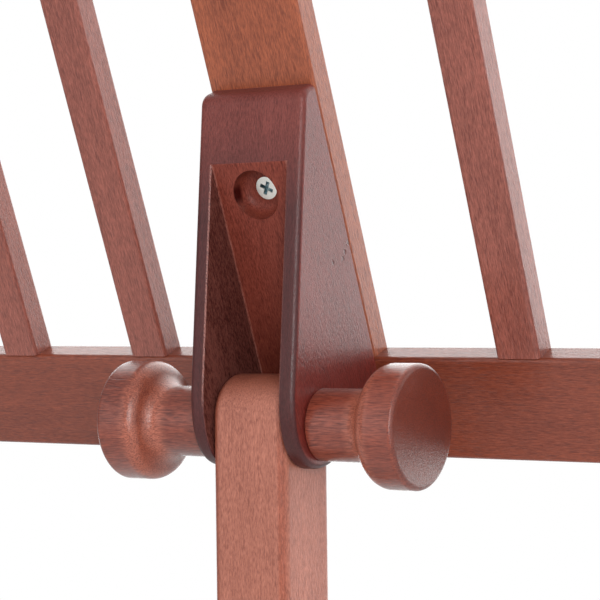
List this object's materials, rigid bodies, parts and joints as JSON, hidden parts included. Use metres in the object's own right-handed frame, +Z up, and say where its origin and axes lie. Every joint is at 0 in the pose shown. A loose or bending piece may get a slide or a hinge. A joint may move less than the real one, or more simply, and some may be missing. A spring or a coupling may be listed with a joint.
{
  "type": "wooden music stand",
  "caption": "Stained wooden music stand with a slatted desk that tilts on a slotted bracket between turned knobs, a sliding square post and a cross foot.",
  "frame": {"origin": "on the floor under the column's centre line", "axes": "+Z up, musician on the -Y side, +X to the musician's right, tilt axis along X at 0.9 m"},
  "size_m": [0.582, 0.582, 1.1938],
  "materials": {
    "stained_wood": "reddish mahogany stain under satin to semi-gloss varnish",
    "plain_beech": "bare, unstained",
    "zinc_steel": "bright zinc plated",
    "brass": "machined",
    "leather_pad": "natural, dull",
    "rubber": "matt black"
  },
  "bodies": {
    "base": {"column_channel": "stained_wood", "column_cover": "stained_wood", "column_plug": "plain_beech", "collar": "stained_wood", "clamp_boss": "stained_wood", "clamp_insert": "brass", "base_block": "stained_wood", "leg_1": "stained_wood", "leg_2": "stained_wood", "leg_3": "stained_wood", "leg_4": "stained_wood", "leg_dowels": "plain_beech", "foot_pad_1": "rubber", "foot_pad_2": "rubber", "foot_pad_3": "rubber", "foot_pad_4": "rubber"},
    "post": {"inner_post": "stained_wood"},
    "desk": {"bottom_rail": "stained_wood", "top_rail": "stained_wood", "centre_slat": "stained_wood", "slat_1": "stained_wood", "slat_2": "stained_wood", "slat_3": "stained_wood", "slat_4": "stained_wood", "slat_5": "stained_wood", "slat_6": "stained_wood", "slat_7": "stained_wood", "slat_8": "stained_wood", "music_ledge": "stained_wood", "ledge_lip": "stained_wood", "ledge_dowels": "plain_beech", "bracket": "stained_wood", "bracket_screws": "zinc_steel"},
    "left_knob": {"knob_left": "stained_wood", "insert_left": "brass", "tilt_rod": "zinc_steel"},
    "right_knob": {"knob_right": "stained_wood", "insert_right": "brass"},
    "clamp_pad": {"clamp_pad": "leather_pad"},
    "clamp_knob": {"clamp_knob": "stained_wood", "clamp_knob_insert": "brass", "clamp_rod": "zinc_steel"}
  },
  "joints": [
    {"name": "post_height", "type": "slide", "parent": "base", "child": "post", "axis": [0, 0, 1], "range_m": [-0.185, 0.25]},
    {"name": "desk_tilt", "type": "hinge", "parent": "post", "child": "desk", "pos_m": [0, 0, 0.9], "axis": [-1, 0, 0], "range_deg": [-21.95, 68.05]},
    {"name": "left_knob_turn", "type": "hinge", "parent": "desk", "child": "left_knob", "pos_m": [-0.018, 0, 0.9], "axis": [-1, 0, 0], "range_deg": [0, 360]},
    {"name": "right_knob_turn", "type": "hinge", "parent": "desk", "child": "right_knob", "pos_m": [0.018, 0, 0.9], "axis": [1, 0, 0], "range_deg": [0, 360]},
    {"name": "clamp_pad_travel", "type": "slide", "parent": "base", "child": "clamp_pad", "axis": [1, 0, 0], "range_m": [0, 0.0009375]},
    {"name": "clamp_knob_turn", "type": "hinge", "parent": "clamp_pad", "child": "clamp_knob", "pos_m": [0.038, 0, 0.612], "axis": [1, 0, 0], "range_deg": [0, 270]}
  ],
  "couplings": [
    {"joint": "clamp_knob_turn", "follows": "clamp_pad_travel", "rad_per_m": 5026.5}
  ]
}
